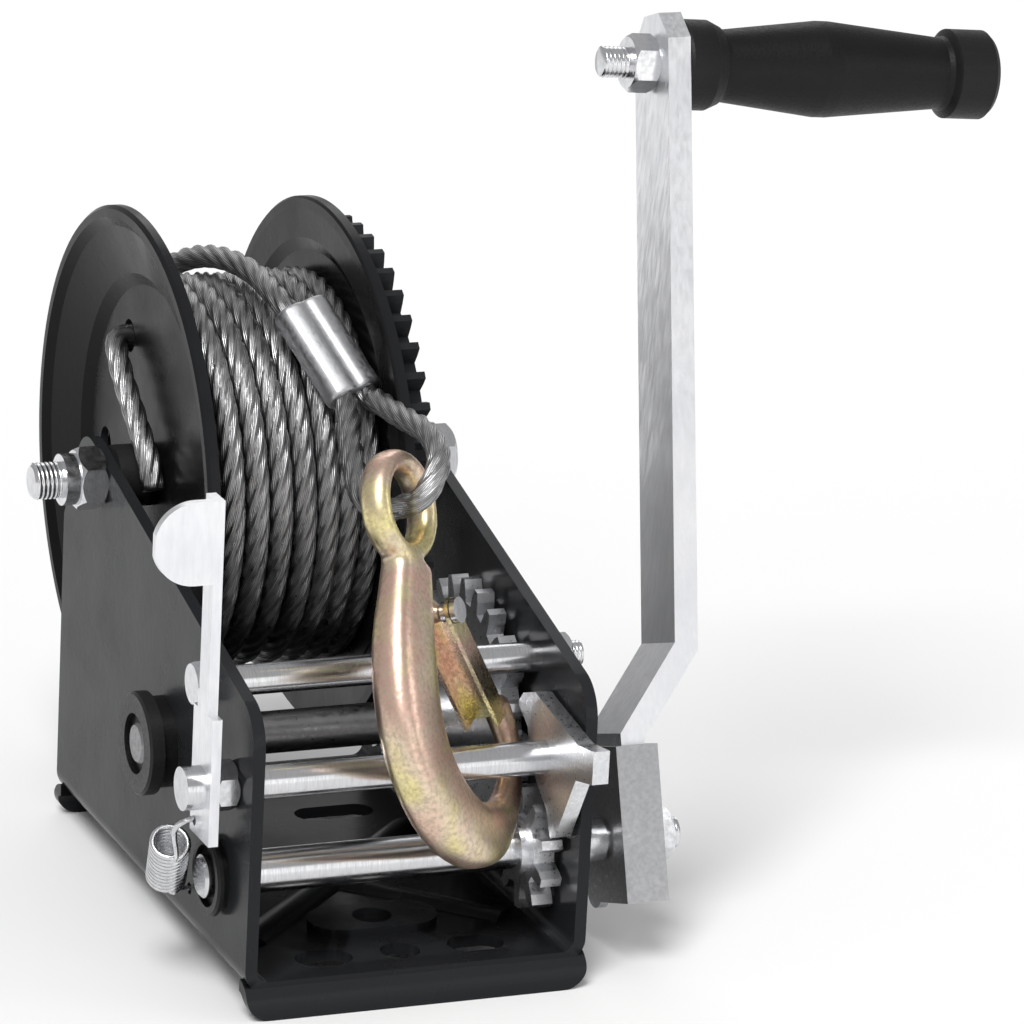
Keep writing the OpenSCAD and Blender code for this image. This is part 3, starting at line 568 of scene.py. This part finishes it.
# Edge rounding in mm
bevels = {
    "side_frame": 0.9, "crank_arm": 1.6, "crank_bracket": 0.8, "selector_lever": 0.7, "pawl": 0.5,
    "mid_gear": 0.35, "mid_pinion": 0.3, "drive_pinion": 0.35, "drum_gear": 0.35, "hook_latch": 0.3,
    "latch_rivet": 0.7, "axle_nut": 0.4, "tie_nut": 0.35, "tie_bolt": 0.4, "drive_nut": 0.4,
    "grip_nut": 0.4, "grip_bolt": 0.3, "lever_nut": 0.35, "crank_grip": 0.8, "drum_flange_left": 0.5,
    "drum_flange_right": 0.5, "mid_bush_left": 0.5, "mid_bush_right": 0.5, "drive_bush_left": 0.5,
    "drive_bush_right": 0.5, "mid_shaft": 0.4, "drive_shaft": 0.5, "pawl_rod": 0.6, "drum_axle": 0.4,
    "axle_spacer_left": 0.4, "axle_spacer_right": 0.4, "tie_tube": 0.2, "pawl_tube": 0.2,
    "drum_barrel": 0.3,
}
for name, mat in looks.items():
    for material_slot in nodes[name].material_slots:
        material_slot.material = mat
for name, width in bevels.items():
    bevel = nodes[name].modifiers.new("soft_edges", "BEVEL")
    bevel.width = width * MM
    bevel.segments = 3
    bevel.limit_method = "ANGLE"
    bevel.angle_limit = math.radians(32)
    bevel.harden_normals = False
    bevel.use_clamp_overlap = True
    normals = nodes[name].modifiers.new("clean_normals", "WEIGHTED_NORMAL")
    normals.keep_sharp = True
    normals.weight = 60
dress(sleeve, alu)
for obj in (winding, free_end, tail):
    dress(obj, rope_mat)


# ---- hook -------------------------------------------------------------------------

HOOK_AT, HOOK_TURN, HOOK_LEAN = Vector((-1, -119, 43)), math.radians(44), math.radians(19)
hook_frame = (Matrix.Translation(HOOK_AT) @ Matrix.Rotation(HOOK_TURN, 4, "Z")
              @ Matrix.Rotation(-HOOK_LEAN, 4, "X"))

# In the hook's own plane: across, up, half width, half thickness
hook_line = [[34, 102, 9.4, 6], [27, 92, 10.8, 6.5], [18.5, 80, 12, 7.5], [12, 67, 12.5, 8],
             [8.5, 53, 12.5, 8], [9.5, 38, 12.5, 8], [16, 24, 12, 8], [27, 13.5, 11, 7.5],
             [39, 10.5, 9.8, 6.3], [50, 11.5, 7, 4.4], [60.7, 17.8, 5.8, 3.2], [68.5, 28.5, 5, 3.3],
             [67.5, 44, 5, 4]]
ear_rows = [[31, 88.5, 6.2, 2.5], [38, 85, 4.7, 2.5], [44, 82, 3.5, 2.5], [46.4, 80.8, 2.2, 2.3]]
EAR_ACROSS = (0.46, 0.89)
EYE_AT, EYE_R, EYE_HALF_W, EYE_HALF_T, EYE_RINGS = (38, 119), 15.0, 3.5, 5.4, 64
BODY_POWER, TIP_POWER, EYE_POWER, EAR_POWER = 3.3, 2.6, 2.3, 3.2   # squareness of the sections
TIP_ROWS, TIP_REACH = (0.35, 0.62, 0.82, 0.94), 0.9


def blob_ring(centre, across, half_w, half_t, power, n=28):
    """Superellipse ring; across is the unit vector of its width in the hook's plane."""
    ring = []
    for k in range(n):
        t = 2 * math.pi * k / n
        c, s = math.cos(t), math.sin(t)
        a = math.copysign(abs(c) ** (2 / power), c) * half_w
        b = math.copysign(abs(s) ** (2 / power), s) * half_t
        ring.append((centre[0] + across[0] * a, b, centre[1] + across[1] * a))
    return ring


def loft(rings, closed=False):
    return [v for ring in rings for v in ring], ring_faces(len(rings[0]), len(rings), closed)


def make_hook():
    """Body, eye and latch ear, joined into one smooth skin."""
    line = catmull(hook_line, 6)
    flow = np.gradient(line[:, :2], axis=0)
    flow /= np.linalg.norm(flow, axis=1)[:, None]
    body = []
    for k in range(len(line)):
        across = (flow[k][1], -flow[k][0])
        body.append(blob_ring(line[k][:2], across, line[k][2], line[k][3], BODY_POWER))
    # the tip: rings that close down past the last point
    end, fl, hw, ht = line[-1][:2], flow[-1], line[-1][2], line[-1][3]
    for s in TIP_ROWS:
        c = math.sqrt(1 - s * s)
        body.append(blob_ring(end + fl * hw * s * TIP_REACH, (fl[1], -fl[0]), hw * c, ht * c, TIP_POWER))
    eye = []
    for k in range(EYE_RINGS):
        t = 2 * math.pi * k / EYE_RINGS
        radial = (math.cos(t), math.sin(t))
        centre = (EYE_AT[0] + radial[0] * EYE_R, EYE_AT[1] + radial[1] * EYE_R)
        eye.append(blob_ring(centre, radial, EYE_HALF_W, EYE_HALF_T, EYE_POWER))
    ear = [blob_ring((x, y), EAR_ACROSS, hw, ht, EAR_POWER) for x, y, hw, ht in ear_rows]
    verts, faces = [], []
    for v, f in (loft(body), loft(eye, closed=True), loft(ear)):
        base = len(verts)
        verts += v
        faces += [tuple(base + i for i in face) for face in f]
    obj = new_object("hook_forging", [hook_frame @ Vector(v) * MM for v in verts], faces)
    join = obj.modifiers.new("join", "REMESH")
    join.mode = "VOXEL"
    join.voxel_size = 0.0011
    join.use_smooth_shade = True
    smooth = obj.modifiers.new("smooth", "CORRECTIVE_SMOOTH")
    smooth.factor = 0.5
    smooth.iterations = 7
    smooth.use_only_smooth = True
    bake(obj)
    obj.data.polygons.foreach_set("use_smooth", [True] * len(obj.data.polygons))
    return obj


hook = make_hook()
dress(hook, gold)
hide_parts("hook_body")
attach(hook, "hook")


# ---- springs ----------------------------------------------------------------------

def coil_line(a, b, radius, coils, per=20):
    """Points of a helix from a to b, per points to a coil."""
    d = unit(b - a)
    s = unit(np.cross(d, [1, 0.1, 0.05]))
    u = np.cross(d, s)
    n = coils * per
    rows = []
    for k in range(n + 1):
        t = 2 * math.pi * k / per
        rows.append(a + (b - a) * k / n + radius * (math.cos(t) * s + math.sin(t) * u))
    return rows


SPRING_R, SPRING_COILS, SPRING_WIRE_R = 5.7, 11, 0.95
BODY_FROM, BODY_SHARE = 0.26, 0.52           # where the coils start on the run, and their share of it
BODY_OFFSET = np.array([-8.8, -0.6, 0])      # clear of the drive shaft's end
top = np.array([high("selector_lever", 0) - 1.6, -75, 60.0])
foot = np.array([-58.0, -42, 24.0])
run = foot - top
body_a = top + run * BODY_FROM + BODY_OFFSET
coil = coil_line(body_a, body_a + run * BODY_SHARE, SPRING_R, SPRING_COILS)
hook_top = [top + np.array(v) for v in ([4.0, 0.6, -1.0], [0.5, 0.6, 0.6], [-4.5, -0.3, 0.3],
                                        [-7.0, 3.0, -4.0])]
hook_low = [foot + np.array(v) for v in ([-9.5, -7, 7], [-6.0, -2.0, 2.0], [-2.0, 0.8, 0.0],
                                         [2.5, 0.4, -0.5])]
spring_line = resample(catmull(hook_top + coil + hook_low, 3), 0.7)
spring = tube("selector_spring", spring_line, round_section(SPRING_WIRE_R, 10))
dress(spring, spring_zinc)
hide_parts("lever_spring")
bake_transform(spring)


# ---- threads ----------------------------------------------------------------------

THREAD_RISE, THREAD_SINK, THREAD_END = 0.32, 0.1, 0.5   # mm: ridge, depth under the bolt, run-out
ROWS_A_TURN = 4


def thread(name, base, along, radius, thread_pitch, length, mat, body, n=24):
    """Ridged sleeve that stands for a bolt's cut thread."""
    base, along = np.array(base, dtype=float), unit(np.array(along, dtype=float))
    s = unit(np.cross(along, [0.21, 0.31, 0.92]))
    u = np.cross(along, s)
    rows = int(length / thread_pitch * ROWS_A_TURN) + 1
    verts = []
    for k in range(rows):
        at = base + along * (k / ROWS_A_TURN) * thread_pitch
        for j in range(n):
            t = 2 * math.pi * j / n
            h = (k / ROWS_A_TURN - j / n) % 1.0
            r = radius + THREAD_RISE * (1 - 2 * abs(h - 0.5)) - THREAD_SINK
            if k in (0, rows - 1):
                r = radius - THREAD_END
            verts.append((at + r * (math.cos(t) * s + math.sin(t) * u)) * MM)
    obj = new_object(name, verts, ring_faces(n, rows))
    dress(obj, mat)
    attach(obj, body)
    return obj


thread("axle_thread", [low("drum_axle", 0) + 0.6, *axle], [1, 0, 0], 6.05, 1.5, 9.6,
       bright, "frame")
tie_at = mid_of("tie_tube")[1:]
thread("tie_thread", [high("tie_bolt", 0) - 5.0, *tie_at], [1, 0, 0], 4.02, 1.25, 5.3,
       bright, "frame")
grip_joint = next(j for j in frame["joints"] if j["name"] == "grip_spin")
grip_at = np.array(grip_joint["pos_m"]) / MM
grip_dir = np.array(grip_joint["axis"])
thread("grip_thread", grip_at - grip_dir * 18.4, grip_dir, 5.02, 1.5, 9.4,
       bright, "crank")
drive_at = mid_of("drive_nut")[1:]
thread("drive_thread", [high("drive_nut", 0), *drive_at], [1, 0, 0], 5.02, 1.5,
       high("drive_shaft", 0) - high("drive_nut", 0) + 0.3, bright, "crank")

# ---- floor, light -----------------------------------------------------------------

bpy.ops.mesh.primitive_plane_add(size=60, location=(0, 0, 0))
floor = bpy.context.object
floor.name = "floor"
white = Mat("floor_white", 0.9, 0.0)
white.bsdf.inputs["Base Color"].default_value = (0.86, 0.86, 0.86, 1)
white.bsdf.inputs["Specular IOR Level"].default_value = 0.0
dress(floor, white.mat)

world = bpy.data.worlds.new("studio")
bpy.context.scene.world = world
world.use_nodes = True
bg = world.node_tree.nodes["Background"]
bg.inputs["Color"].default_value = (1, 1, 1, 1)
bg.inputs["Strength"].default_value = 0.42


def area(name, place, look_at, size, energy, size_y=None):
    data = bpy.data.lights.new(name, "AREA")
    data.energy = energy
    data.shape = "RECTANGLE"
    data.size = size
    data.size_y = size_y or size
    obj = bpy.data.objects.new(name, data)
    place, look_at = Vector(place), Vector(look_at)
    obj.location = place
    obj.rotation_euler = (look_at - place).to_track_quat("-Z", "Y").to_euler()
    bpy.context.collection.objects.link(obj)
    return obj


centre = (0.03, 0.0, 0.12)
area("key", (-0.9, -1.1, 1.1), centre, 0.6, 5)
area("fill", (1.4, -0.9, 0.7), centre, 0.7, 3)
area("back", (0.5, 1.5, 1.2), centre, 1.0, 4)
area("front", (0.35, -2.6, 0.55), centre, 1.9, 7, 1.3)
sun_data = bpy.data.lights.new("sun", "SUN")
sun_data.energy = 2.1
sun_data.angle = math.radians(26)
sun = bpy.data.objects.new("sun", sun_data)
sun.rotation_euler = (Vector(centre) - Vector((-0.55, -0.75, 1.6))).to_track_quat("-Z", "Y").to_euler()
bpy.context.collection.objects.link(sun)

bpy.context.scene.view_settings.view_transform = "Standard"
